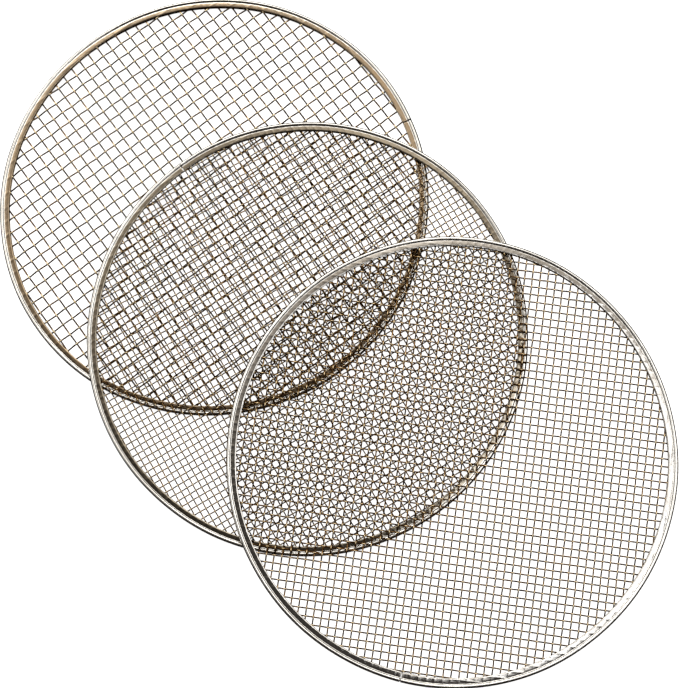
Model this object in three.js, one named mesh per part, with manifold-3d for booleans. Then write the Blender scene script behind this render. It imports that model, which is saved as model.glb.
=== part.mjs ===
// Soil sieve screens: three round woven-wire screens of one sieve set (coarse, fine and medium mesh),
// fanned out so that the fine screen leans on the coarse one and the medium screen leans on the fine one.
// Each screen is a folded steel strip rim, closed over a wire hoop and crimped onto two layers of wire.
// Millimetres, +Z up. The origin is the centre of the bottom of the whole fan's box.
import * as THREE from "three";
import { mergeVertices } from "three/addons/utils/BufferGeometryUtils.js";
import Module from "manifold-3d";

// ---------- driving dimensions ----------
const rimDiameter = 290; // outside diameter of every screen
const stripThickness = 0.4; // sheet steel that the rim is folded from
const hoopWire = 1.8; // diameter of the stiffening hoop inside the rim's bead
const flangeWidth = 3.1; // flat part of the rim that is crimped onto the mesh
const beadRise = 0.4; // how far the bead stands above and below the flange
const beadLand = 1.3; // flat ring on top of and under the bead
const beadSlope = 0.7; // the slope from the flange up to that ring, measured along the flange
const seamGap = 0.5; // gap between the strip's two butted ends
const clearance = 0.25; // between the pieces inside one rim
const restGap = 0.3; // between one screen and the screen it leans on

// One entry for each screen, from the bottom of the fan to the top.
// warpTurn and seamTurn are degrees counter-clockwise from +X, seen from above.
// step is the way from the screen below to this one: a length and a direction.
const screens = [
  {
    name: "coarse",
    wire: 1.1,
    warpPitch: 7.6,
    weftPitch: 8.15,
    warpTurn: 37,
    seamTurn: 23,
    step: { length: 0, turn: 0 },
  },
  {
    name: "fine",
    wire: 0.85,
    warpPitch: 4.26,
    weftPitch: 4.44,
    warpTurn: 30.5,
    seamTurn: 127,
    step: { length: 111.5, turn: -54.7 },
  },
  {
    name: "medium",
    wire: 0.95,
    warpPitch: 5.0,
    weftPitch: 5.04,
    warpTurn: 82.4,
    seamTurn: 257,
    step: { length: 124.3, turn: -40.7 },
  },
];

// ---------- sizes that follow ----------
const ringSides = 48; // flats round every ring
const hoopSides = 6;
const rimRadius = rimDiameter / 2;
const beadWidth = hoopWire + 2 * clearance + 2 * stripThickness;
const beadFoot = rimRadius - beadWidth; // where the bead meets the flange
const rimInside = beadFoot - flangeWidth;
const inscribed = Math.cos(Math.PI / ringSides); // a ring's flats lie this much nearer its centre
const meshRadius = beadFoot * inscribed;
const edgeBandWidth = flangeWidth / 2; // hidden band that joins one layer's wires under the flange
const wireReach = meshRadius - edgeBandWidth;

const slitHalf = (spec) => spec.wire + 1.5 * clearance;
const flangeHalf = (spec) => slitHalf(spec) + stripThickness;
const beadHalf = (spec) => flangeHalf(spec) + beadRise;

const steel = (color, roughness) =>
  new THREE.MeshStandardMaterial({ color, roughness, metalness: 1 });
const rimSteel = steel(0xc9c8c4, 0.22);
const hoopSteel = steel(0xa9a8a3, 0.35);
const wireSteel = steel(0x6d6358, 0.4);

const wasm = await Module();
wasm.setup();

// ---------- booleans ----------
function toSolid(geometry) {
  const bare = geometry.clone();
  bare.deleteAttribute("normal");
  bare.deleteAttribute("uv");
  const merged = mergeVertices(bare, 1e-4);
  return new wasm.Manifold(
    new wasm.Mesh({
      numProp: 3,
      vertProperties: merged.attributes.position.array,
      triVerts: new Uint32Array(merged.index.array),
    }),
  );
}

function toGeometry(solid) {
  const mesh = solid.getMesh();
  const geometry = new THREE.BufferGeometry();
  geometry.setAttribute(
    "position",
    new THREE.BufferAttribute(new Float32Array(mesh.vertProperties), 3),
  );
  geometry.setIndex(new THREE.BufferAttribute(new Uint32Array(mesh.triVerts), 1));
  geometry.computeVertexNormals();
  return geometry;
}

// A closed ring turned about Z from a section given as [radius, height] points, counter-clockwise.
function turnedRing(section) {
  const points = [...section, section[0]].map(([r, z]) => new THREE.Vector2(r, z));
  return new THREE.LatheGeometry(points, ringSides).rotateX(Math.PI / 2);
}

// ---------- rim ----------
// Upper half of one face of the strip, from the flange's free edge to the rim's outer wall.
// depth is 0 for the outside face and the strip's thickness for the inside face.
function stripFace(spec, depth) {
  const flange = flangeHalf(spec) - depth;
  const top = beadHalf(spec) - depth;
  const slopeShift = depth / 2; // the inside face turns up a little further out
  const landStart = beadFoot + beadSlope;
  const landEnd = landStart + beadLand;
  const bendRadius = rimRadius - landEnd - depth;
  const bend = (turn) => [
    landEnd + bendRadius * Math.sin(turn),
    top - bendRadius * (1 - Math.cos(turn)),
  ];
  return [
    [rimInside, flange],
    [beadFoot + slopeShift, flange],
    [landStart + slopeShift, top],
    bend(0),
    bend(Math.PI / 4),
    bend(Math.PI / 2),
  ];
}

function makeRim(spec) {
  const outside = stripFace(spec, 0);
  const inside = stripFace(spec, stripThickness);
  const mirrored = (face) => face.map(([r, z]) => [r, -z]);
  // Counter-clockwise round the C section: under the outside, up the wall, back along the top,
  // then down into the slit, round the hollow and out again.
  const section = [
    ...mirrored(outside),
    ...outside.toReversed(),
    ...inside,
    ...mirrored(inside).toReversed(),
  ];
  const slot = new THREE.BoxGeometry(
    2 * (beadWidth + flangeWidth),
    seamGap,
    4 * beadHalf(spec),
  );
  const seamTurn = THREE.MathUtils.degToRad(spec.seamTurn);
  slot.translate((rimInside + rimRadius) / 2, 0, 0).rotateZ(seamTurn);
  const ring = toSolid(turnedRing(section));
  return toGeometry(ring.subtract(toSolid(slot)));
}

function makeHoop() {
  const centre = rimRadius - stripThickness - clearance - hoopWire / 2;
  const section = [];
  for (let i = 0; i < hoopSides; i++) {
    const turn = (2 * Math.PI * i) / hoopSides;
    section.push([
      centre + (hoopWire / 2) * Math.cos(turn),
      (hoopWire / 2) * Math.sin(turn),
    ]);
  }
  return turnedRing(section);
}

// ---------- wires ----------
// Centre lines of parallel wires at an even pitch, symmetric about the screen's centre.
function wireLines(pitch, wire) {
  const count = Math.floor((2 * wireReach - wire) / pitch) + 1;
  return Array.from({ length: count }, (_, i) => (i - (count - 1) / 2) * pitch);
}

// The gap between two neighbouring wires: straight along the wires, round where it meets the band.
function gapOutline(left, right) {
  const chordStep = 12;
  const width = right - left;
  const ends = [left, right].map((x) => Math.sqrt(Math.max(0, wireReach ** 2 - x ** 2)));
  const steps = Math.ceil(Math.hypot(width, ends[0] - ends[1]) / chordStep);
  const turns = [left, right].map((x, i) => Math.atan2(ends[i], x));
  const arc = Array.from({ length: steps + 1 }, (_, i) => {
    const turn = THREE.MathUtils.lerp(turns[0], turns[1], i / steps);
    return new THREE.Vector2(wireReach * Math.cos(turn), wireReach * Math.sin(turn));
  });
  const mirror = arc.toReversed().map((p) => new THREE.Vector2(p.x, -p.y));
  return new THREE.Path([...arc, ...mirror]);
}

// One layer: parallel wires joined at their ends by a thin band that the rim hides.
function makeWireLayer(spec, pitch, turn, bottom) {
  const { wire } = spec;
  const outline = [];
  for (let i = 0; i < ringSides; i++) {
    const angle = (2 * Math.PI * i) / ringSides;
    outline.push(
      new THREE.Vector2(meshRadius * Math.cos(angle), meshRadius * Math.sin(angle)),
    );
  }
  const shape = new THREE.Shape(outline);
  const lines = wireLines(pitch, wire);
  for (let i = 0; i + 1 < lines.length; i++)
    shape.holes.push(gapOutline(lines[i] + wire / 2, lines[i + 1] - wire / 2));
  const layer = new THREE.ExtrudeGeometry(shape, { depth: wire, bevelEnabled: false });
  return layer.translate(0, 0, bottom).rotateZ(THREE.MathUtils.degToRad(turn));
}

// ---------- how the screens lean ----------
// Half the height of a screen's body at a radius from its centre.
function halfHeightAt(spec, radius) {
  if (radius > rimRadius) return null;
  if (radius >= beadFoot) return beadHalf(spec);
  if (radius >= rimInside) return flangeHalf(spec);
  return spec.wire + clearance / 2;
}

// Points all over a screen, closer together on its rim.
function* screenPoints(spec) {
  const rimStations = 720;
  const meshStations = 120;
  const meshStep = 4;
  const rimRadii = [rimRadius, rimRadius - beadWidth / 2, beadFoot, rimInside];
  for (const radius of rimRadii) yield* pointsOnCircle(radius, rimStations);
  for (let radius = 0; radius < rimInside; radius += meshStep)
    yield* pointsOnCircle(radius, meshStations);
  function* pointsOnCircle(radius, stations) {
    for (let i = 0; i < stations; i++) {
      const turn = (2 * Math.PI * i) / stations;
      yield [radius * Math.cos(turn), radius * Math.sin(turn), halfHeightAt(spec, radius)];
    }
  }
}

// Smallest value of a convex function of one number between two limits.
function lowest(of, low, high, rounds = 40) {
  for (let i = 0; i < rounds; i++) {
    const a = low + (high - low) / 3;
    const b = high - (high - low) / 3;
    if (of(a) < of(b)) high = b;
    else low = a;
  }
  return of((low + high) / 2);
}

// The lowest plane for a screen that stays clear of the floor and of the screens under it:
// height = level + slopeX * x + slopeY * y, about the screen's centre.
function settle(spec, centre, placed) {
  const supports = [...screenPoints(spec)].map(([x, y, half]) => {
    let under = 0;
    for (const lower of placed) {
      const dx = centre.x + x - lower.centre.x;
      const dy = centre.y + y - lower.centre.y;
      const reach = halfHeightAt(lower.spec, Math.hypot(dx, dy));
      if (reach === null) continue;
      const surface = lower.level + lower.slopeX * dx + lower.slopeY * dy + reach;
      under = Math.max(under, surface + restGap);
    }
    return { x, y, z: under + half };
  });
  const steepest = 0.1;
  const levelFor = (slopeX, slopeY) => {
    let level = 0;
    for (const p of supports) level = Math.max(level, p.z - slopeX * p.x - slopeY * p.y);
    return level;
  };
  const best = { level: Infinity };
  const forSlopeX = (slopeX) =>
    lowest(
      (slopeY) => {
        const level = levelFor(slopeX, slopeY);
        if (level < best.level) Object.assign(best, { level, slopeX, slopeY });
        return level;
      },
      -steepest,
      steepest,
    );
  lowest(forSlopeX, -steepest, steepest);
  return { spec, centre, ...best };
}

function layOut() {
  const placed = [];
  const centre = new THREE.Vector2(0, 0);
  for (const spec of screens) {
    const turn = THREE.MathUtils.degToRad(spec.step.turn);
    centre.x += spec.step.length * Math.cos(turn);
    centre.y += spec.step.length * Math.sin(turn);
    const here = centre.clone();
    if (placed.length) placed.push(settle(spec, here, placed));
    else placed.push({ spec, centre: here, level: beadHalf(spec), slopeX: 0, slopeY: 0 });
  }
  return placed;
}

// ---------- assembly ----------
function named(name, geometry, material) {
  const mesh = new THREE.Mesh(geometry, material);
  mesh.name = name;
  return mesh;
}

function makeScreen({ spec, centre, level, slopeX, slopeY }) {
  const screen = new THREE.Group();
  const { name, wire, warpPitch, weftPitch, warpTurn } = spec;
  const weftTurn = warpTurn + 90;
  const warp = makeWireLayer(spec, warpPitch, warpTurn, clearance / 2);
  const weft = makeWireLayer(spec, weftPitch, weftTurn, -clearance / 2 - wire);
  screen.add(
    named(`${name}_rim`, makeRim(spec), rimSteel),
    named(`${name}_hoop`, makeHoop(), hoopSteel),
    named(`${name}_warp_wires`, warp, wireSteel),
    named(`${name}_weft_wires`, weft, wireSteel),
  );
  screen.position.set(centre.x, centre.y, level);
  const up = new THREE.Vector3(0, 0, 1);
  const facing = new THREE.Vector3(-slopeX, -slopeY, 1).normalize();
  screen.quaternion.setFromUnitVectors(up, facing);
  return screen;
}

const sieve = new THREE.Group();
sieve.add(...layOut().map(makeScreen));
const middle = new THREE.Box3().setFromObject(sieve, true).getCenter(new THREE.Vector3());
for (const screen of sieve.children) {
  screen.position.x -= middle.x;
  screen.position.y -= middle.y;
}

export default sieve;
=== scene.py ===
import math

import bmesh
import bpy
import numpy as np
from bpy.props import FloatProperty, FloatVectorProperty, IntProperty, PointerProperty
from mathutils import Matrix, Vector


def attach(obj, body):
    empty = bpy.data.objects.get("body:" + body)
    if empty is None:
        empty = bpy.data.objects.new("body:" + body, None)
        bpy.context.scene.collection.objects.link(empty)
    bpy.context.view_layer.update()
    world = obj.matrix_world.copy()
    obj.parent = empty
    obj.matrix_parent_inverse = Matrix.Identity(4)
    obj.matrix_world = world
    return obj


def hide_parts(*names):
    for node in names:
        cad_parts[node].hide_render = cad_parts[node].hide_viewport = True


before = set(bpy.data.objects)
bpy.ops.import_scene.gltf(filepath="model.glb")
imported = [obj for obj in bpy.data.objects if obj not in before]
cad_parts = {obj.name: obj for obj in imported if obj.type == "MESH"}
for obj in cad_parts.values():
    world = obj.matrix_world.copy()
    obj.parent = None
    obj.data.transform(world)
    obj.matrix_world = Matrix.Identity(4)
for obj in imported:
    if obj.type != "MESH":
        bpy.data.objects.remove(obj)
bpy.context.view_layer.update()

bl_info = {
    "name": "Soil Sieve Screens",
    "version": (1, 0, 0),
    "blender": (4, 5, 0),
    "location": "3D View > Sidebar > Sieve",
    "description": "Woven wire sieve screens with folded steel rims, and the stage they lie on",
    "category": "Object",
}

MM = 0.001
SCREENS = ("coarse", "fine", "medium")

# Cosines that sort CAD faces: a side wall's normal rises less than LEVEL, a wire's own wall faces
# across it past SQUARE_ON, and a cut end of the strip looks along it past CUT_END.
LEVEL = 0.5
SQUARE_ON = 0.9999
CUT_END = 0.9
# Faces closer together than this belong to one wire's wall.
LEAST_GAP = 0.5 * MM

# Wires whose crossings are farther apart than these get more steps, and past the first, more sides.
COARSE_PITCH = 6 * MM
MEDIUM_PITCH = 4.7 * MM

# The rim's fold: room over the wires, how far the flange sinks towards the bead, and the lip's
# width, its drop from the flange, and its wall.
FLANGE_CLEARANCE = 0.05 * MM
FLANGE_SAG = 0.12 * MM
LIP_WIDTH = 0.8 * MM
LIP_DROP = 0.3 * MM
LIP_WALL = 0.2 * MM
# Wires show through the flange: how wide a mark is, in wire widths, the faintest mark's share, and
# the length of the table that gives each wire its share.
MARK_WIDTH = 1.25
FAINTEST_MARK = 0.55
MARK_TABLE = 400

# Cells of the steel's patterns to the metre: along the strip or hoop, and round its section.
ROLLING_CELLS = (60, 9000, 1)
SCRATCH_CELLS = (350, 2500, 1)
DRAWING_CELLS = (40, 6000, 1)

# Each softbox has a place, a point that it faces, a width and depth, a brightness and a colour.
SOFTBOXES = {
    "right_softbox": ((0.40, -0.10, 1.1), (0.40, -0.10, 0), (0.46, 0.5), 2.2, (1.0, 0.99, 0.98)),
    "top_softbox": ((0.06, 0.50, 1.1), (0.06, 0.50, 0), (0.3, 0.36), 0.6, (1.0, 0.93, 0.82)),
    "back_softbox": ((-0.3, 1.2, 1.1), (0, 0, 0), (2.0, 0.5), 2.2, (1.0, 0.98, 0.95)),
}


# ---------- measuring the frame ----------
def node_mesh(node):
    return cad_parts[node].data


def corners(node):
    """Every vertex of a CAD node, one row each, in metres."""
    mesh = node_mesh(node)
    flat = np.empty(len(mesh.vertices) * 3, np.float32)
    mesh.vertices.foreach_get("co", flat)
    return flat.reshape(-1, 3).astype(float)


class Lay:
    """One layer of parallel wires: its turn about the screen's axis, and its even centre lines."""

    def __init__(self, screen, node):
        mesh = node_mesh(node)
        count = len(mesh.polygons)
        normals, centres, areas = np.empty(count * 3), np.empty(count * 3), np.empty(count)
        mesh.polygons.foreach_get("normal", normals)
        mesh.polygons.foreach_get("center", centres)
        mesh.polygons.foreach_get("area", areas)
        normals = normals.reshape(-1, 3) @ screen.axes.T
        centres = screen.to_local(centres.reshape(-1, 3))
        walls = np.abs(normals[:, 2]) < LEVEL
        normals, centres, areas = normals[walls], centres[walls], areas[walls]
        # Opposite walls of a wire count as one direction when their angles are doubled.
        doubled = 2 * np.arctan2(normals[:, 1], normals[:, 0])
        turn = np.arctan2((areas * np.sin(doubled)).sum(), (areas * np.cos(doubled)).sum()) / 2
        self.turn = turn % math.pi
        across = np.array([math.cos(self.turn), math.sin(self.turn)])
        walls_ahead = np.sort(centres[normals[:, :2] @ across > SQUARE_ON][:, :2] @ across)
        between_wires = np.flatnonzero(np.diff(walls_ahead) > LEAST_GAP) + 1
        far_sides = [group.mean() for group in np.split(walls_ahead, between_wires)]
        heights = screen.to_local(corners(node))[:, 2]
        self.wire = heights.max() - heights.min()
        self.pitch = (far_sides[-1] - far_sides[0]) / (len(far_sides) - 1)
        self.first = far_sides[0] - self.wire / 2
        # Only the gaps between wires are cut, so the last wire has no far side of its own.
        self.count = len(far_sides) + 1
        self.across = across

    def distance(self, x, y):
        """How far each point is from the nearest centre line, and that line's number."""
        place = (x * self.across[0] + y * self.across[1] - self.first) / self.pitch
        nearest = np.round(place)
        return np.abs(place - nearest) * self.pitch, nearest


class Screen:
    """Where a screen lies and how big it is, read from its CAD nodes."""

    def __init__(self, name):
        self.name = name
        hoop = corners(f"{name}_hoop")
        self.centre = hoop.mean(axis=0)
        up = np.linalg.svd(hoop - self.centre, full_matrices=False)[2][2]
        up *= np.sign(up[2])
        right = np.array([1.0, 0.0, 0.0])
        right -= right @ up * up
        right /= np.linalg.norm(right)
        self.axes = np.array([right, np.cross(up, right), up])
        hoop = self.to_local(hoop)
        hoop_radii = np.hypot(hoop[:, 0], hoop[:, 1])
        self.hoop_wire = hoop_radii.max() - hoop_radii.min()
        self.hoop_radius = (hoop_radii.max() + hoop_radii.min()) / 2
        rim = self.to_local(corners(f"{name}_rim"))
        radii = np.hypot(rim[:, 0], rim[:, 1])
        self.radius = radii.max()
        self.inside = radii.min()
        self.half_height = np.abs(rim[:, 2]).max()
        self.seam = self.find_seam()
        self.warp = Lay(self, f"{name}_warp_wires")
        self.weft = Lay(self, f"{name}_weft_wires")
        layer = self.to_local(corners(f"{name}_warp_wires"))
        self.reach = np.hypot(layer[:, 0], layer[:, 1]).max()
        self.body = f"{name}_screen"

    def to_local(self, points):
        return (points - self.centre) @ self.axes.T

    def find_seam(self):
        """The bearing of the butted seam, from the cut faces that look along the strip."""
        mesh = node_mesh(f"{self.name}_rim")
        bearings = []
        for face in mesh.polygons:
            x, y, _ = self.to_local(np.array(face.center))
            along = np.array([-y, x, 0.0]) / math.hypot(x, y)
            if abs(self.axes @ np.array(face.normal) @ along) > CUT_END:
                bearings.append(math.atan2(y, x))
        return math.atan2(np.sin(bearings).mean(), np.cos(bearings).mean())

    def placed(self, turn=0.0):
        """The matrix that puts a shape made about the origin in this screen's place."""
        to_row = Matrix(self.axes.T.tolist()).to_4x4()
        to_row.translation = Vector(self.centre)
        return to_row @ Matrix.Rotation(turn, 4, "Z")


screens = {name: Screen(name) for name in SCREENS}


# ---------- node helpers ----------
class Nodes:
    """Adds nodes to a tree, and sets or links their inputs as it goes."""

    def __init__(self, tree):
        self.tree = tree

    def add(self, kind, inputs=None, **settings):
        node = self.tree.nodes.new(kind)
        for name, value in settings.items():
            setattr(node, name, value)
        self.fill(node, inputs or {})
        return node

    def fill(self, node, inputs):
        """Links each input that is given a socket, and sets the others."""
        for name, value in inputs.items():
            if isinstance(value, bpy.types.NodeSocket):
                self.tree.links.new(value, node.inputs[name])
            else:
                node.inputs[name].default_value = value

    def out(self, kind, inputs=None, output=0, **settings):
        return self.add(kind, inputs, **settings).outputs[output]

    def mix(self, factor, first, second, blend="MIX"):
        return self.out(
            "ShaderNodeMix",
            {0: factor, 6: first, 7: second},
            output=2,
            data_type="RGBA",
            blend_type=blend,
        )


class GeometryTree(Nodes):
    """A geometry node tree with named inputs and one geometry output."""

    def __init__(self, name, inputs):
        super().__init__(bpy.data.node_groups.new(name, "GeometryNodeTree"))
        sockets = self.tree.interface
        for label, kind in inputs.items():
            sockets.new_socket(label, in_out="INPUT", socket_type=f"NodeSocket{kind}")
        sockets.new_socket("Geometry", in_out="OUTPUT", socket_type="NodeSocketGeometry")
        self.given = self.add("NodeGroupInput").outputs

    def math(self, operation, *values):
        return self.out("ShaderNodeMath", dict(enumerate(values)), operation=operation)

    def vector(self, x=0.0, y=0.0, z=0.0):
        return self.out("ShaderNodeCombineXYZ", {"X": x, "Y": y, "Z": z})

    def finish(self, geometry):
        """Ends the tree: real geometry, with its material."""
        real = self.out("GeometryNodeRealizeInstances", {"Geometry": geometry})
        dressed = self.out(
            "GeometryNodeSetMaterial", {"Geometry": real, "Material": self.given["Material"]}
        )
        self.add("NodeGroupOutput", {"Geometry": dressed})
        return self.tree


def mesh_from_tree(name, tree, values):
    """Runs a geometry node tree with these inputs, and returns the result as a plain mesh."""
    host = bpy.data.objects.new(name, bpy.data.meshes.new(name))
    bpy.context.scene.collection.objects.link(host)
    modifier = host.modifiers.new(tree.name, "NODES")
    modifier.node_group = tree
    for item in tree.interface.items_tree:
        if item.in_out == "INPUT":
            modifier[item.identifier] = values[item.name]
    graph = bpy.context.evaluated_depsgraph_get()
    mesh = bpy.data.meshes.new_from_object(host.evaluated_get(graph), depsgraph=graph)
    bpy.data.objects.remove(host)
    return mesh


def add_piece(name, mesh, screen, nodes):
    """Links a finished mesh as a piece that rides with its screen and stands for CAD nodes."""
    mesh.name = name
    piece = bpy.data.objects.new(name, mesh)
    bpy.context.scene.collection.objects.link(piece)
    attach(piece, screen.body)
    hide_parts(*nodes)
    return piece


# ---------- materials ----------
class SurfaceNodes(Nodes):
    """A new material's shader tree, with a Principled shader ready on its output."""

    def __init__(self, name, metallic=1.0):
        self.material = bpy.data.materials.new(name)
        self.material.use_nodes = True
        super().__init__(self.material.node_tree)
        self.tree.nodes.clear()
        self.shader = self.add("ShaderNodeBsdfPrincipled", {"Metallic": metallic})
        self.add("ShaderNodeOutputMaterial", {"Surface": self.shader.outputs[0]})

    def surface(self, inputs):
        self.fill(self.shader, inputs)

    def noise(self, vector, scale, detail=2.0, roughness=0.5):
        return self.out(
            "ShaderNodeTexNoise",
            {"Vector": vector, "Scale": scale, "Detail": detail, "Roughness": roughness},
        )

    def stretch(self, vector, scale):
        return self.out("ShaderNodeMapping", {"Vector": vector, "Scale": scale})

    def between(self, value, low, high, out_low, out_high):
        return self.out(
            "ShaderNodeMapRange",
            {0: value, 1: low, 2: high, 3: out_low, 4: out_high},
        )


def rgba(color):
    return (*color, 1.0)


def strip_steel(name, tint, finish):
    """Bright rolled strip: fine rolling lines along it, soft blotches, a few rubbed scratches, and a bead
    painted far lighter than the flange, a painted highlight.
    """
    nodes = SurfaceNodes(name)
    dull = rgba(finish.rim_dull)
    # Painted highlight colour for the bead, and the real colour of rubbed scratches.
    bright = rgba(finish.bead_highlight_and_scratch)
    along = nodes.out("ShaderNodeUVMap", uv_map="strip")
    place = nodes.out("ShaderNodeTexCoord", output="Object")
    lines = nodes.noise(nodes.stretch(along, ROLLING_CELLS), 1.0, 3.0)
    scratches = nodes.noise(nodes.stretch(along, SCRATCH_CELLS), 1.0, 4.0, 0.7)
    blotches = nodes.noise(place, 45.0, 3.0, 0.6)
    bead = nodes.out("ShaderNodeAttribute", output="Fac", attribute_name="bead")
    stain = nodes.between(blotches, 0.38, 0.72, 0.0, 0.6)
    flange = nodes.mix(stain, rgba(tint), dull)
    rubbed = nodes.between(scratches, 0.62, 0.7, 0.0, 0.35)
    flange = nodes.mix(rubbed, flange, bright)
    half_stain = nodes.between(stain, 0.0, 1.0, 0.0, 0.5)
    # Painted highlight: the bead of the same strip is painted far lighter than its flange.
    color = nodes.mix(bead, flange, nodes.mix(half_stain, bright, dull))
    rough = nodes.between(blotches, 0.3, 0.75, finish.strip_roughness, finish.strip_roughness + 0.1)
    grain = nodes.out("ShaderNodeBump", {"Strength": 0.18, "Distance": 0.00004, "Height": lines})
    marks = nodes.out(
        "ShaderNodeBump",
        {"Strength": 0.35, "Distance": 0.00008, "Height": scratches, "Normal": grain},
    )
    nodes.surface({"Base Color": color, "Roughness": rough, "Normal": marks})
    return nodes.material


def wire_steel(name, tint, finish):
    """Crimped drawn wire: a painted highlight, golden-edged, where it crosses on top, and dark below it,
    partly real tarnish and partly painted shade on the slopes.
    """
    nodes = SurfaceNodes(name)
    crest = nodes.out("ShaderNodeAttribute", output="Fac", attribute_name="crest")
    strand = nodes.out("ShaderNodeAttribute", output="Fac", attribute_name="strand")
    place = nodes.out("ShaderNodeTexCoord", output="Object")
    tarnish = nodes.noise(place, 260.0, 3.0, 0.6)
    patches = nodes.noise(place, 24.0, 2.0, 0.5)
    warm = nodes.mix(nodes.between(patches, 0.4, 0.62, 0.0, 1.0), rgba(tint), rgba(finish.wire_warm))
    # Everything below the crest is blackened: partly real tarnish, varied by noise, and partly painted
    # shade on the slopes.
    slope = nodes.mix(nodes.between(tarnish, 0.38, 0.55, 0.6, 1.0), warm, rgba(finish.wire_tarnish_and_shade))
    # Painted highlight: a golden edge round each crest, where the wire crosses on top.
    highlight_edge = nodes.between(crest, 0.78, 0.93, 0.0, 1.0)
    color = nodes.mix(highlight_edge, slope, warm)
    # Painted highlight: the crest where the wire crosses on top is painted near-white.
    crest_highlight = nodes.between(crest, 0.88, 0.98, 0.0, 1.0)
    color = nodes.mix(crest_highlight, color, rgba(finish.wire_crest_highlight))
    shade = nodes.between(strand, 0.0, 1.0, 0.75, 1.0)
    grey = nodes.out("ShaderNodeCombineColor", {0: shade, 1: shade, 2: shade})
    color = nodes.mix(1.0, color, grey, "MULTIPLY")
    rough = nodes.between(crest, 0.0, 1.0, finish.wire_roughness + 0.12, finish.wire_roughness)
    drawn = nodes.noise(place, 2500.0, 2.0)
    marks = nodes.out("ShaderNodeBump", {"Strength": 0.2, "Distance": 0.00003, "Height": drawn})
    nodes.surface(
        {
            "Base Color": color,
            "Roughness": rough,
            "Normal": marks,
            "Specular Tint": rgba(finish.wire_sides),
        }
    )
    return nodes.material


def hoop_steel(name, finish):
    """Satin drawn hoop wire with faint lines along it."""
    nodes = SurfaceNodes(name)
    along = nodes.out("ShaderNodeUVMap", uv_map="strip")
    lines = nodes.noise(nodes.stretch(along, DRAWING_CELLS), 1.0, 3.0)
    line = nodes.between(lines, 0.35, 0.65, 0.0, 1.0)
    color = nodes.mix(line, rgba(finish.hoop_color), rgba(finish.hoop_line))
    marks = nodes.out("ShaderNodeBump", {"Strength": 0.25, "Distance": 0.00004, "Height": lines})
    rough = nodes.between(lines, 0.3, 0.7, 0.28, 0.42)
    nodes.surface({"Base Color": color, "Roughness": rough, "Normal": marks})
    return nodes.material


# ---------- swept rings ----------
def arc(centre, radii, start, end, steps):
    """Points on an ellipse's arc, in degrees counter-clockwise from +r."""
    turns = np.radians(np.linspace(start, end, steps))
    return [(centre[0] + radii[0] * math.cos(t), centre[1] + radii[1] * math.sin(t)) for t in turns]


def ring_mesh(name, section, bearings, shift, closed, material):
    """Sweeps a closed section round the Z axis. section rows are (radius, height).
    shift(bearing, section) gives the radius and height that each station's section gets."""
    stations = len(bearings)
    size = len(section)
    grid = np.array([shift(bearing, section) for bearing in bearings])
    turn = np.asarray(bearings)[:, None]
    points = np.stack(
        [grid[:, :, 0] * np.cos(turn), grid[:, :, 0] * np.sin(turn), grid[:, :, 1]], axis=-1
    ).reshape(-1, 3)
    i = np.arange(stations if closed else stations - 1)[:, None]
    j = np.arange(size)[None, :]
    next_i, next_j = (i + 1) % stations, (j + 1) % size

    def corner(station, step):
        return (station * size + step).ravel()

    faces = np.stack(
        [corner(i, j), corner(next_i, j), corner(next_i, next_j), corner(i, next_j)], axis=1
    ).tolist()
    if not closed:
        faces.append(list(range(size))[::-1])
        faces.append([(stations - 1) * size + k for k in range(size)])
    mesh = bpy.data.meshes.new(name)
    mesh.from_pydata(points.tolist(), [], faces)
    steps = np.hypot(*(np.roll(section, -1, axis=0) - section).T)
    lengths = np.concatenate([[0.0], np.cumsum(steps)])
    write_strip_map(mesh, bearings, section[:, 0].mean(), lengths, size, closed)
    work = bmesh.new()
    work.from_mesh(mesh)
    bmesh.ops.recalc_face_normals(work, faces=work.faces)
    work.to_mesh(mesh)
    work.free()
    mesh.polygons.foreach_set("use_smooth", [True] * len(mesh.polygons))
    mesh.materials.append(material)
    return mesh


def write_strip_map(mesh, bearings, radius, lengths, size, closed):
    """A UV map in metres: along the ring, and round its section."""
    layer = mesh.uv_layers.new(name="strip")
    vertex = np.empty(len(mesh.loops), int)
    mesh.loops.foreach_get("vertex_index", vertex)
    station, step = vertex // size, vertex % size
    along = np.asarray(bearings)[station] * radius
    round_section = lengths[step]
    # The quad that closes the section or the ring runs on past its last row, not back to zero.
    face = np.repeat(np.arange(len(mesh.polygons)), [p.loop_total for p in mesh.polygons])
    in_sweep = face < (len(bearings) - (0 if closed else 1)) * size
    column = face % size
    wraps_section = in_sweep & (column == size - 1) & (step == 0)
    round_section = np.where(wraps_section, lengths[-1], round_section)
    row = face // size
    wraps_ring = in_sweep & (row == len(bearings) - 1) & (station == 0)
    along = np.where(wraps_ring, along + 2 * math.pi * radius, along)
    layer.data.foreach_set("uv", np.stack([along, round_section], axis=1).ravel())


def smooth_bump(distance, width):
    """1 on the line, falling smoothly to 0 at width."""
    near = np.clip(1 - distance / width, 0, 1)
    return near * near * (3 - 2 * near)


def wobble(screen, bearing, settings):
    """How far hand bending moved the rim outwards here."""
    phase = SCREENS.index(screen.name) * 2.1
    waves = 0
    for share, bends, shift in ((0.5, 2, 1), (0.3, 5, 2), (0.2, 11, -1)):
        waves += share * math.sin(bends * bearing + shift * phase)
    return settings.rim_wobble * waves


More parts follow.
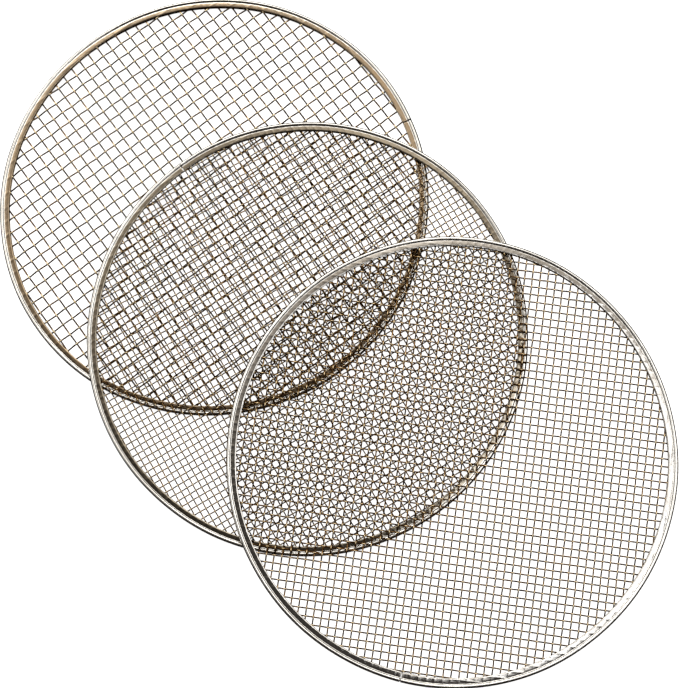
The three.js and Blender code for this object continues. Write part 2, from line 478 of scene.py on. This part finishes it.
def rim_section(screen, settings):
    """The folded strip's section: lip, flange, bead, flange, lip, then back along the inside.
    Also gives the section's rows that a wire can lift, on the top and on the bottom."""
    thick = settings.strip_thickness
    bead_half = settings.bead_width / 2
    bead = (screen.radius - bead_half, 0.0)
    inner_face = screen.warp.wire + FLANGE_CLEARANCE
    flange = inner_face + thick
    tall = screen.half_height
    # The flange meets the bead this many degrees above its middle, and never quite at its top.
    highest = 0.95
    foot = math.degrees(math.asin(min(highest, (flange - FLANGE_SAG) / tall)))
    lip_centre = (screen.inside + LIP_WIDTH, flange - LIP_DROP)
    top_lip = arc(lip_centre, (LIP_WIDTH, LIP_DROP), 180, 100, 6)
    bead_arc = arc(bead, (bead_half, tall), 180 - foot, foot - 180, 30)
    flange_steps = 9
    start, end = top_lip[-1], bead_arc[0]
    flange_top = [
        (
            start[0] + (end[0] - start[0]) * k / flange_steps,
            flange - FLANGE_SAG * (k / flange_steps) ** 3,
        )
        for k in range(1, flange_steps)
    ]
    outside = top_lip + flange_top + bead_arc
    bottom = [(r, -z) for r, z in (top_lip + flange_top)][::-1]
    hollow = arc(bead, (bead_half - thick, tall - thick), foot - 180, 180 - foot, 14)
    inside_bottom = [(screen.inside + LIP_WALL, -inner_face)]
    inside_top = [(screen.inside + LIP_WALL, inner_face)]
    section = outside + bottom + inside_bottom + hollow + inside_top
    top_rows = set(range(len(top_lip) - 2, len(top_lip) + len(flange_top)))
    count = len(outside)
    bottom_rows = set(range(count, count + len(flange_top) + 2))
    return np.array(section), top_rows, bottom_rows


def rim_mesh(screen, settings, material):
    section, top_rows, bottom_rows = rim_section(screen, settings)
    gap = settings.seam_gap / screen.radius
    bearings = np.linspace(
        screen.seam + gap / 2, screen.seam + 2 * math.pi - gap / 2, settings.rim_stations
    )
    sides = np.zeros(len(section))
    sides[list(top_rows)] = 1
    sides[list(bottom_rows)] = -1
    seed = SCREENS.index(screen.name) + 11
    strength = np.random.default_rng(seed).uniform(FAINTEST_MARK, 1.0, (2, MARK_TABLE))

    def shift(bearing, rows):
        moved = rows.copy()
        moved[:, 0] += wobble(screen, bearing, settings)
        x, y = rows[:, 0] * math.cos(bearing), rows[:, 0] * math.sin(bearing)
        ridge = np.zeros(len(rows))
        for k, lay in enumerate((screen.warp, screen.weft)):
            distance, line = lay.distance(x, y)
            pressed = strength[k][line.astype(int) % MARK_TABLE]
            ridge = np.maximum(ridge, smooth_bump(distance, MARK_WIDTH * lay.wire) * pressed)
        moved[:, 1] += sides * ridge * settings.wire_mark
        return moved

    mesh = ring_mesh(f"{screen.name}_rim", section, bearings, shift, False, material)
    slack = 0.05 * MM
    # Marks the bead, which the strip's material paints lighter as a painted highlight.
    on_bead = (section[:, 0] > screen.radius - settings.bead_width - slack).astype(float)
    mask = mesh.attributes.new("bead", "FLOAT", "POINT")
    mask.data.foreach_set("value", np.tile(on_bead, len(bearings)))
    mesh.transform(screen.placed())
    return mesh


def hoop_mesh(screen, settings, material):
    section = np.array(arc((screen.hoop_radius, 0.0), (screen.hoop_wire / 2,) * 2, 0, 330, 12))
    bearings = np.linspace(0, 2 * math.pi, settings.hoop_stations, endpoint=False)

    def shift(bearing, rows):
        moved = rows.copy()
        moved[:, 0] += wobble(screen, bearing, settings)
        return moved

    mesh = ring_mesh(f"{screen.name}_hoop", section, bearings, shift, True, material)
    mesh.transform(screen.placed())
    return mesh


# ---------- woven wires ----------
WEAVE_INPUTS = {
    "Count": "Int",
    "First": "Float",
    "Pitch": "Float",
    "Cross Count": "Int",
    "Cross First": "Float",
    "Cross Pitch": "Float",
    "Wire": "Float",
    "Crimp": "Float",
    "Reach": "Float",
    "Steps": "Int",
    "Sides": "Int",
    "Drift": "Float",
    "Material": "Material",
}


def weave_tree():
    """Parallel wires along Y, each crimped over and under the wires that cross it."""
    tree = GeometryTree("Woven wires", WEAVE_INPUTS)
    given, calc = tree.given, tree.math
    starts = tree.out(
        "GeometryNodeMeshLine",
        {
            "Count": given["Count"],
            "Start Location": tree.vector(given["First"]),
            "Offset": tree.vector(given["Pitch"]),
        },
        mode="OFFSET",
    )
    # The line runs one pitch past the first and last crossing, so its steps fall on the crossings.
    far = calc("SUBTRACT", given["Cross Pitch"], given["Cross First"])
    near = calc("MULTIPLY", far, -1.0)
    ends = {"Start": tree.vector(0, near), "End": tree.vector(0, far)}
    line = tree.out("GeometryNodeCurvePrimitiveLine", ends)
    spans = calc("ADD", given["Cross Count"], 1.0)
    points = calc("ADD", calc("MULTIPLY", spans, given["Steps"]), 1.0)
    line = tree.out("GeometryNodeResampleCurve", {"Curve": line, "Count": points}, mode="COUNT")
    copies = tree.out("GeometryNodeInstanceOnPoints", {"Points": starts, "Instance": line})
    wires = tree.out("GeometryNodeRealizeInstances", {"Geometry": copies})

    position = tree.out("GeometryNodeInputPosition")
    place = tree.add("ShaderNodeSeparateXYZ", {0: position}).outputs
    flat = tree.vector(place["X"], place["Y"])
    away = tree.out("ShaderNodeVectorMath", {0: flat}, output="Value", operation="LENGTH")
    outside = calc("GREATER_THAN", away, given["Reach"])
    wires = tree.out(
        "GeometryNodeDeleteGeometry", {"Geometry": wires, "Selection": outside}, domain="POINT"
    )

    offset = calc("SUBTRACT", place["X"], given["First"])
    number = calc("ROUND", calc("DIVIDE", offset, given["Pitch"]))
    odd = calc("FLOORED_MODULO", number, 2.0)
    side = calc("SUBTRACT", 1.0, calc("MULTIPLY", odd, 2.0))
    passed = calc("SUBTRACT", place["Y"], given["Cross First"])
    crossing = calc("DIVIDE", passed, given["Cross Pitch"])
    wave = calc("MULTIPLY", side, calc("COSINE", calc("MULTIPLY", crossing, math.pi)))
    # Long straight slopes with a tight bend over each crossing wire.
    bend = 0.94
    crimped = calc("DIVIDE", calc("ARCSINE", calc("MULTIPLY", wave, bend)), math.asin(bend))
    height = calc("MULTIPLY", crimped, given["Crimp"])
    upward = calc("MULTIPLY", crimped, calc("SIGN", given["Crimp"]))
    # Height along the crimp, 1 where the wire lies on top; the wire's material paints its highlight and
    # shade from it.
    crest = calc("ADD", calc("MULTIPLY", upward, 0.5), 0.5)
    wires = tree.out(
        "GeometryNodeStoreNamedAttribute",
        {"Geometry": wires, "Name": "crest", "Value": crest},
        data_type="FLOAT",
        domain="POINT",
    )
    chance = tree.add("FunctionNodeRandomValue", {"ID": number, "Seed": 5}, data_type="FLOAT")
    wires = tree.out(
        "GeometryNodeStoreNamedAttribute",
        {"Geometry": wires, "Name": "strand", "Value": chance.outputs[1]},
        data_type="FLOAT",
        domain="POINT",
    )
    ripple = tree.out("ShaderNodeTexNoise", {"Vector": position, "Scale": 75.0, "Detail": 1.0})
    sideways = calc("MULTIPLY", calc("SUBTRACT", ripple, 0.5), given["Drift"])
    wires = tree.out(
        "GeometryNodeSetPosition", {"Geometry": wires, "Offset": tree.vector(sideways, 0.0, height)}
    )
    half = calc("MULTIPLY", given["Wire"], 0.5)
    section = tree.out(
        "GeometryNodeCurvePrimitiveCircle", {"Resolution": given["Sides"], "Radius": half}, mode="RADIUS"
    )
    solid = tree.out(
        "GeometryNodeCurveToMesh", {"Curve": wires, "Profile Curve": section, "Fill Caps": True}
    )
    return tree.finish(tree.out("GeometryNodeSetShadeSmooth", {"Geometry": solid}))


def woven_mesh(name, tree, screen, lay, cross, crimp, settings, material):
    """One layer's wires as a plain mesh in the screen's place."""
    steps, sides = 4, settings.fine_sides
    if cross.pitch > MEDIUM_PITCH:
        steps = 5
    if cross.pitch > COARSE_PITCH:
        steps, sides = 8, settings.coarse_sides
    mesh = mesh_from_tree(
        name,
        tree,
        {
            "Count": lay.count,
            "First": lay.first,
            "Pitch": lay.pitch,
            "Cross Count": cross.count,
            "Cross First": cross.first,
            "Cross Pitch": cross.pitch,
            "Wire": lay.wire,
            "Crimp": crimp,
            "Reach": screen.reach,
            "Steps": steps,
            "Sides": sides,
            "Drift": settings.wire_drift,
            "Material": material,
        },
    )
    mesh.transform(screen.placed(lay.turn))
    return mesh


# ---------- settings ----------
def length(name, description, value):
    return FloatProperty(
        name=name, description=description, default=value, min=0.0, unit="LENGTH", precision=5
    )


def whole(name, description, value, least):
    return IntProperty(name=name, description=description, default=value, min=least)


def color(name, description, value):
    return FloatVectorProperty(
        name=name, description=description, default=value, size=3, min=0.0, soft_max=1.0, subtype="COLOR"
    )


class SieveShape(bpy.types.PropertyGroup):
    """Sizes of the rims and wires that the frame leaves open."""

    bead_width: length("Bead width", "Width of the round outer bead, across the rim", 3.1 * MM)
    strip_thickness: length("Strip thickness", "Sheet steel that the rim is folded from", 0.4 * MM)
    seam_gap: length("Seam gap", "Gap between the strip's two butted ends", 0.5 * MM)
    wire_mark: length("Wire mark", "How far the flange rises over a wire pressed under it", 0.07 * MM)
    rim_wobble: length("Rim wobble", "How far the rim strays from a true circle", 0.35 * MM)
    wire_drift: length("Wire drift", "How far a wire wanders sideways", 0.5 * MM)
    rim_stations: whole("Rim stations", "Sections round a rim", 1300, 48)
    hoop_stations: whole("Hoop stations", "Sections round a hoop", 240, 48)
    coarse_sides: whole("Coarse sides", "Flats round a coarse wire", 7, 3)
    fine_sides: whole("Fine sides", "Flats round a finer wire", 6, 3)


class SieveFinish(bpy.types.PropertyGroup):
    """Colours and roughness of the steel."""

    # Painted highlight: the bead drawn far lighter than the flange of the same strip; also the colour of
    # rubbed scratches.
    bead_highlight_and_scratch: color("Bead tint", "Polished steel of every bead", (0.95, 0.94, 0.91))
    coarse_tint: color("Coarse flange tint", "Flange of the coarse rim", (0.40, 0.31, 0.21))
    fine_tint: color("Fine flange tint", "Flange of the fine rim", (0.40, 0.36, 0.29))
    medium_tint: color("Medium flange tint", "Flange of the medium rim", (0.70, 0.69, 0.67))
    rim_dull: color("Rim stain", "Duller patches on every rim", (0.30, 0.26, 0.21))
    coarse_wire: color("Coarse wire", "Wires of the coarse screen", (0.10, 0.05, 0.015))
    fine_wire: color("Fine wire", "Wires of the fine screen", (0.34, 0.20, 0.07))
    medium_wire: color("Medium wire", "Wires of the medium screen", (0.40, 0.235, 0.08))
    # Painted highlight: the near-white colour painted on each wire's crest.
    wire_crest_highlight: color("Wire crest", "Wire where it is rubbed bright", (1.0, 0.84, 0.54))
    wire_warm: color("Wire warmth", "Copper-brown patches on the wires", (0.50, 0.27, 0.10))
    # Partly real tarnish and partly painted shade: the dark colour of every wire's slopes.
    wire_tarnish_and_shade: color("Wire tarnish", "Blackened slopes of the wires", (0.040, 0.020, 0.007))
    wire_sides: color("Wire sides", "Tint of a wire's sides, seen at a slant", (0.40, 0.33, 0.24))
    hoop_color: color("Hoop steel", "Satin hoop wire", (0.62, 0.61, 0.59))
    hoop_line: color("Hoop line", "Drawing lines along the hoop wire", (0.42, 0.41, 0.39))
    strip_roughness: FloatProperty(
        name="Strip roughness", description="Roughness of clean strip", default=0.07, min=0.0, max=1.0
    )
    wire_roughness: FloatProperty(
        name="Wire roughness", description="Roughness of a rubbed crest", default=0.22, min=0.0, max=1.0
    )


class SieveStage(bpy.types.PropertyGroup):
    """The floor, the light and the camera."""

    floor_color: color("Floor", "Plain pale floor", (0.93, 0.93, 0.92))
    floor_glow: FloatProperty(name="Floor glow", description="Light table strength", default=0.9, min=0.0)
    softbox_glow: FloatProperty(
        name="Softbox glow", description="Brightness of every softbox", default=1.0, min=0.0
    )
    room: color("Room", "Dark studio round the object", (0.012, 0.010, 0.009))
    wall_front: color("Screens in front", "Belt of screens on the camera's side", (0.05, 0.045, 0.04))
    wall_back: color("Screens behind", "Belt of screens on the far side", (2.0, 1.94, 1.84))
    ceiling_front: color("Ceiling in front", "Ceiling above the camera's side", (0.05, 0.045, 0.04))
    ceiling_back: color("Ceiling behind", "Ceiling above the far side", (0.55, 0.49, 0.42))
    focal_length: FloatProperty(
        name="Focal length", description="Lens in millimetres", default=73.9, min=10.0
    )
    azimuth: FloatProperty(
        name="Azimuth", description="Camera bearing", default=math.radians(15.44), subtype="ANGLE"
    )
    elevation: FloatProperty(
        name="Elevation", description="Camera height angle", default=math.radians(79.39), subtype="ANGLE"
    )
    roll: FloatProperty(
        name="Roll",
        description="Turn of the picture's up from +Y",
        default=math.radians(0.5),
        subtype="ANGLE",
    )
    distance: length("Distance", "From the camera to its aim on the floor", 0.932)
    aim: FloatVectorProperty(
        name="Aim",
        description="Point on the floor that the camera looks at",
        default=(0.0067, -0.0108, 0.0),
        size=3,
        unit="LENGTH",
        precision=5,
    )


# ---------- operators ----------
def settings_of(context):
    scene = context.scene
    return scene.sieve_shape, scene.sieve_finish, scene.sieve_stage


class SIEVE_OT_rims(bpy.types.Operator):
    """Make the folded strip rims"""

    bl_idname = "sieve.rims"
    bl_label = "Rims"

    def execute(self, context):
        shape, finish, _ = settings_of(context)
        for name, screen in screens.items():
            tint = getattr(finish, f"{name}_tint")
            material = strip_steel(f"{name}_strip_steel", tint, finish)
            mesh = rim_mesh(screen, shape, material)
            add_piece(f"{name}_folded_rim", mesh, screen, [f"{name}_rim"])
        return {"FINISHED"}


class SIEVE_OT_hoops(bpy.types.Operator):
    """Make the stiffening hoops inside the rims"""

    bl_idname = "sieve.hoops"
    bl_label = "Hoops"

    def execute(self, context):
        shape, finish, _ = settings_of(context)
        material = hoop_steel("hoop_steel", finish)
        for name, screen in screens.items():
            mesh = hoop_mesh(screen, shape, material)
            add_piece(f"{name}_hoop_wire", mesh, screen, [f"{name}_hoop"])
        return {"FINISHED"}


class SIEVE_OT_wires(bpy.types.Operator):
    """Weave the wires of every screen"""

    bl_idname = "sieve.wires"
    bl_label = "Wires"

    def execute(self, context):
        shape, finish, _ = settings_of(context)
        tree = weave_tree()
        for name, screen in screens.items():
            material = wire_steel(f"{name}_wire_steel", getattr(finish, f"{name}_wire"), finish)
            warp, weft = screen.warp, screen.weft
            crimp = warp.wire / 2
            # Seen along the weft, the warp is counted backwards, which swaps over and under
            # where the warp has an even number of wires.
            weft_crimp = -crimp if warp.count % 2 else crimp
            for layer, lay, cross, rise in (
                ("warp", warp, weft, crimp),
                ("weft", weft, warp, weft_crimp),
            ):
                piece_name = f"{name}_{layer}_weave"
                mesh = woven_mesh(piece_name, tree, screen, lay, cross, rise, shape, material)
                add_piece(piece_name, mesh, screen, [f"{name}_{layer}_wires"])
        return {"FINISHED"}


class SIEVE_OT_stage(bpy.types.Operator):
    """Make the floor, the soft studio light and the camera"""

    bl_idname = "sieve.stage"
    bl_label = "Stage"

    def execute(self, context):
        _, _, stage = settings_of(context)
        make_floor(stage)
        make_light(stage)
        make_world(stage)
        make_camera(stage)
        context.scene.view_settings.view_transform = "Standard"
        return {"FINISHED"}


def make_floor(stage):
    """A plain pale floor, kept out of the steel's reflections so that the dark room outlines it."""
    nodes = SurfaceNodes("pale_floor", metallic=0.0)
    nodes.surface(
        {
            "Base Color": rgba(stage.floor_color),
            "Roughness": 0.8,
            "Emission Color": (1.0, 1.0, 1.0, 1.0),
            "Emission Strength": stage.floor_glow,
        }
    )
    half, height = 6.0, -0.2 * MM
    outline = [(-half, -half), (half, -half), (half, half), (-half, half)]
    mesh = bpy.data.meshes.new("floor")
    mesh.from_pydata([(x, y, height) for x, y in outline], [], [range(len(outline))])
    mesh.materials.append(nodes.material)
    floor = bpy.data.objects.new("floor", mesh)
    bpy.context.scene.collection.objects.link(floor)
    floor.visible_glossy = False


def add_softbox(name, place, aim, size, glow, tint):
    """A rectangular light whose face has this brightness."""
    lamp = bpy.data.lights.new(name, "AREA")
    lamp.shape = "RECTANGLE"
    lamp.size, lamp.size_y = size
    lamp.energy = glow * math.pi * size[0] * size[1]
    lamp.color = tint
    light = bpy.data.objects.new(name, lamp)
    light.location = place
    light.rotation_euler = (Vector(aim) - Vector(place)).to_track_quat("-Z", "Y").to_euler()
    bpy.context.scene.collection.objects.link(light)


def make_light(stage):
    for name, (place, aim, size, glow, tint) in SOFTBOXES.items():
        add_softbox(name, place, aim, size, glow * stage.softbox_glow, tint)


def make_world(stage):
    """Dark near the ground, then a belt of screens, pale on the far side, and a dim warm ceiling."""
    world = bpy.data.worlds.new("studio")
    world.use_nodes = True
    nodes = Nodes(world.node_tree)
    world.node_tree.nodes.clear()
    direction = nodes.out("ShaderNodeTexCoord", output="Generated")
    part = nodes.add("ShaderNodeSeparateXYZ", {0: direction}).outputs

    def ramp(axis, start, end):
        """0 to 1 as the view direction's part along this axis goes from start to end."""
        return nodes.out(
            "ShaderNodeMapRange",
            {0: part[axis], 1: start, 2: end, 3: 0.0, 4: 1.0},
            interpolation_type="SMOOTHSTEP",
        )

    walls = nodes.mix(ramp("Y", -0.6, 0.3), rgba(stage.wall_front), rgba(stage.wall_back))
    ceiling = nodes.mix(ramp("Y", 0.0, 0.3), rgba(stage.ceiling_front), rgba(stage.ceiling_back))
    room = nodes.mix(ramp("Z", 0.48, 0.58), rgba(stage.room), walls)
    room = nodes.mix(ramp("Z", 0.86, 0.91), room, ceiling)
    dim = nodes.out("ShaderNodeBackground", {"Color": room, "Strength": 1.0})
    pale = nodes.out("ShaderNodeBackground", {"Color": (0.97, 0.97, 0.97, 1.0), "Strength": 1.0})
    seen = nodes.out("ShaderNodeLightPath", output="Is Camera Ray")
    mixed = nodes.out("ShaderNodeMixShader", {0: seen, 1: dim, 2: pale})
    nodes.add("ShaderNodeOutputWorld", {"Surface": mixed})
    bpy.context.scene.world = world


def make_camera(stage):
    azimuth, elevation = stage.azimuth, stage.elevation
    level = math.cos(elevation)
    back = Vector((math.sin(azimuth) * level, -math.cos(azimuth) * level, math.sin(elevation)))
    up_hint = Vector((-math.sin(stage.roll), math.cos(stage.roll), 0.0))
    right = up_hint.cross(back).normalized()
    up = back.cross(right)
    lens = bpy.data.cameras.new("camera")
    lens.lens = stage.focal_length
    lens.sensor_width = 36.0
    lens.clip_start, lens.clip_end = 0.05, 50.0
    camera = bpy.data.objects.new("camera", lens)
    to_row = Matrix((right, up, back)).transposed().to_4x4()
    to_row.translation = Vector(stage.aim) + back * stage.distance
    camera.matrix_world = to_row
    bpy.context.scene.collection.objects.link(camera)
    bpy.context.scene.camera = camera


class SIEVE_PT_panel(bpy.types.Panel):
    """The sieve's steps, in the order they run"""

    bl_label = "Soil Sieve"
    bl_idname = "SIEVE_PT_panel"
    bl_space_type = "VIEW_3D"
    bl_region_type = "UI"
    bl_category = "Sieve"

    def draw(self, context):
        for operator in OPERATORS:
            self.layout.operator(operator.bl_idname)
        for group in settings_of(context):
            for name in group.__annotations__:
                self.layout.prop(group, name)


SETTINGS = {"sieve_shape": SieveShape, "sieve_finish": SieveFinish, "sieve_stage": SieveStage}
OPERATORS = (SIEVE_OT_rims, SIEVE_OT_hoops, SIEVE_OT_wires, SIEVE_OT_stage)
CLASSES = (*SETTINGS.values(), *OPERATORS, SIEVE_PT_panel)


def register():
    for cls in CLASSES:
        bpy.utils.register_class(cls)
    for name, group in SETTINGS.items():
        setattr(bpy.types.Scene, name, PointerProperty(type=group))


def unregister():
    for name in SETTINGS:
        delattr(bpy.types.Scene, name)
    for cls in reversed(CLASSES):
        bpy.utils.unregister_class(cls)


def main():
    register()
    bpy.ops.sieve.rims()
    bpy.ops.sieve.hoops()
    bpy.ops.sieve.wires()
    bpy.ops.sieve.stage()


if __name__ == "__main__":
    main()
